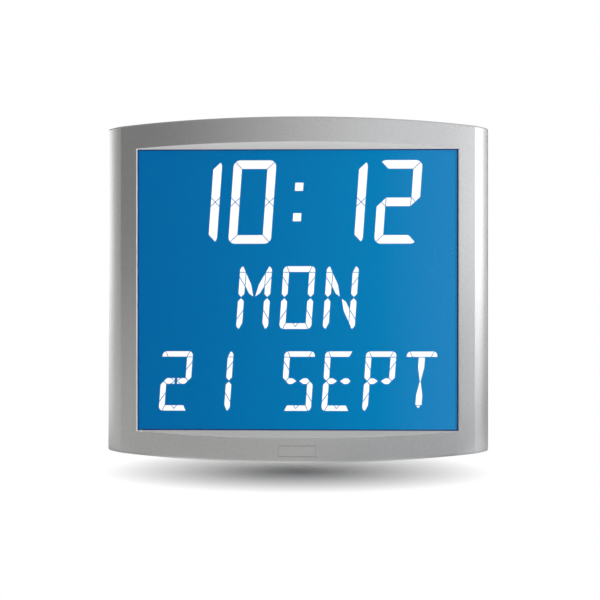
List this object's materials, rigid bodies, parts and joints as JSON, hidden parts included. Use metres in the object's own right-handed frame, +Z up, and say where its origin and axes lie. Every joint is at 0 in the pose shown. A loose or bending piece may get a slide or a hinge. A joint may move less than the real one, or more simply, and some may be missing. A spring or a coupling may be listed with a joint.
{
  "type": "digital clock",
  "caption": "Large digital wall and shelf clock: a bowed silver frame round a flat lit display with time, weekday and date rows, setting buttons underneath and a hook-on wall bracket.",
  "frame": {"origin": "under the middle of the case, on the surface that it stands on", "axes": "+X to the right as seen by the viewer, +Y to the back towards the wall, +Z up; the display faces -Y"},
  "size_m": [0.324, 0.058, 0.2746],
  "materials": {
    "silver_paint": "silver metallic paint, satin",
    "badge_metal": "satin",
    "cover_plastic": "fine textured dark grey",
    "screw_steel": "zinc plated",
    "grommet_rubber": "matt",
    "bracket_steel": "grey powder coat",
    "button_plastic": "satin black",
    "gasket_foam": "closed-cell foam",
    "clear_film": "clear, glossy",
    "clear_glass": "clear, polished",
    "segment_white": "lit, white",
    "seal_resin": "cured resin",
    "blue_field": "blue display field",
    "white_sheet": "matt white film",
    "guide_acrylic": "clear acrylic",
    "led_white": "phosphor-coated",
    "board_laminate": "green solder mask",
    "frame_plastic": "white moulded",
    "contact_rubber": "striped elastomer",
    "chip_epoxy": "moulded epoxy",
    "can_metal": "drawn can",
    "cell_steel": "nickel plated",
    "terminal_plastic": "green moulded"
  },
  "bodies": {
    "case": {"front_bezel": "silver_paint", "badge_plate": "badge_metal", "rear_cover": "cover_plastic", "case_screws": "screw_steel", "cable_grommet": "grommet_rubber", "switch_housings": "chip_epoxy", "window_gasket": "gasket_foam", "front_polariser": "clear_film", "lcd_front_glass": "clear_glass", "time_segments": "segment_white", "weekday_segments": "segment_white", "date_segments": "segment_white", "cell_seal": "seal_resin", "lcd_rear_glass": "blue_field", "rear_polariser": "clear_film", "diffuser_sheet": "white_sheet", "light_guide": "guide_acrylic", "reflector_sheet": "white_sheet", "led_bar_left": "board_laminate", "led_bar_right": "board_laminate", "backlight_leds_left": "led_white", "backlight_leds_right": "led_white", "display_frame": "frame_plastic", "frame_screws": "screw_steel", "contact_strip_bottom": "contact_rubber", "contact_strip_top": "contact_rubber", "main_board": "board_laminate", "board_screws": "screw_steel", "driver_chips": "chip_epoxy", "microcontroller": "chip_epoxy", "quartz_crystal": "can_metal", "voltage_regulator": "chip_epoxy", "filter_capacitors": "can_metal", "cell_holder": "button_plastic", "backup_cell": "cell_steel", "terminal_block": "terminal_plastic", "terminal_screws": "screw_steel"},
    "mode_key": {"mode_button": "button_plastic", "mode_switch_plunger": "button_plastic"},
    "set_key": {"set_button": "button_plastic", "set_switch_plunger": "button_plastic"},
    "bracket": {"wall_bracket": "bracket_steel"}
  },
  "joints": [
    {"name": "mode_press", "type": "slide", "parent": "case", "child": "mode_key", "axis": [0, 0, 1], "range_m": [0, 0.0012], "stiffness_N_per_m": 1500, "springref_m": -0.0003},
    {"name": "set_press", "type": "slide", "parent": "case", "child": "set_key", "axis": [0, 0, 1], "range_m": [0, 0.0012], "stiffness_N_per_m": 1500, "springref_m": -0.0003},
    {"name": "bracket_unhook", "type": "slide", "parent": "case", "child": "bracket", "axis": [0, 0, -1], "range_m": [0, 0.01]}
  ]
}
